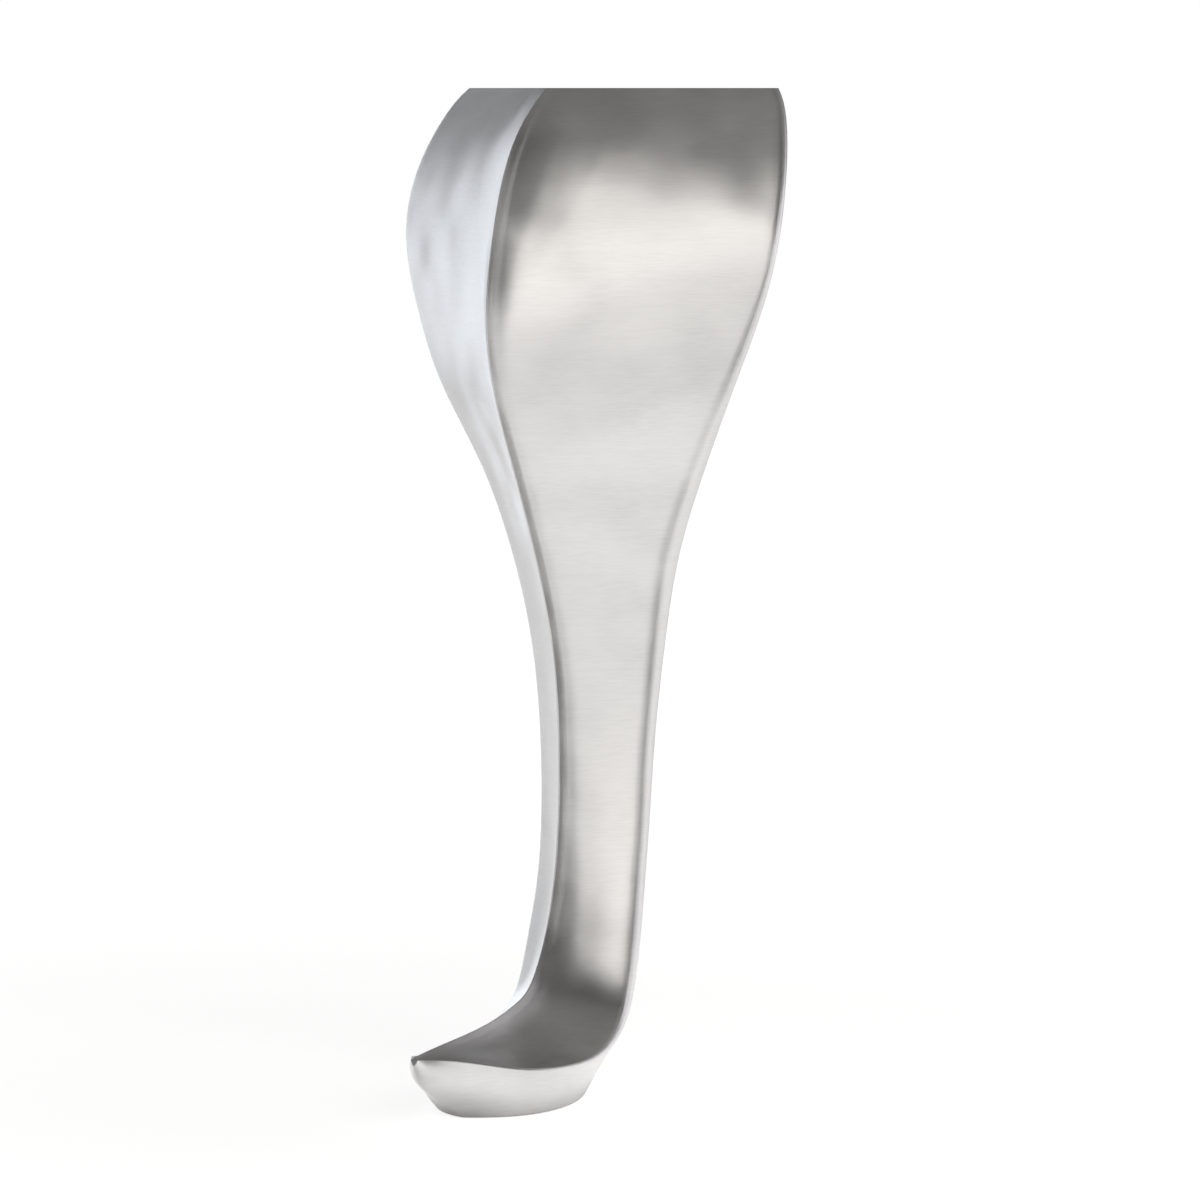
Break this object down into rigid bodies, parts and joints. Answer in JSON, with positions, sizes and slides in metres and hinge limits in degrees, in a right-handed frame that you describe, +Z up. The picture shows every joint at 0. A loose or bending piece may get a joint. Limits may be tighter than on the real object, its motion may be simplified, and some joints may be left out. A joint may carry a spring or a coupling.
{
  "type": "furniture leg",
  "caption": "Curved cabriole furniture leg of square section with a sharp front ridge, sweeping from a wide flat top to a pointed toe, with a threaded hole in the top.",
  "frame": {"origin": "centre of the threaded mounting hole, in the plane of the flat top", "axes": "+Z up out of the mounting hole. The two outer faces of the top face -X and -Y, and the toe points between them, toward -X and -Y"},
  "size_m": [0.0648, 0.0648, 0.15],
  "materials": {
    "metal": "brushed"
  },
  "bodies": {
    "root": {"leg": "metal"}
  },
  "joints": []
}
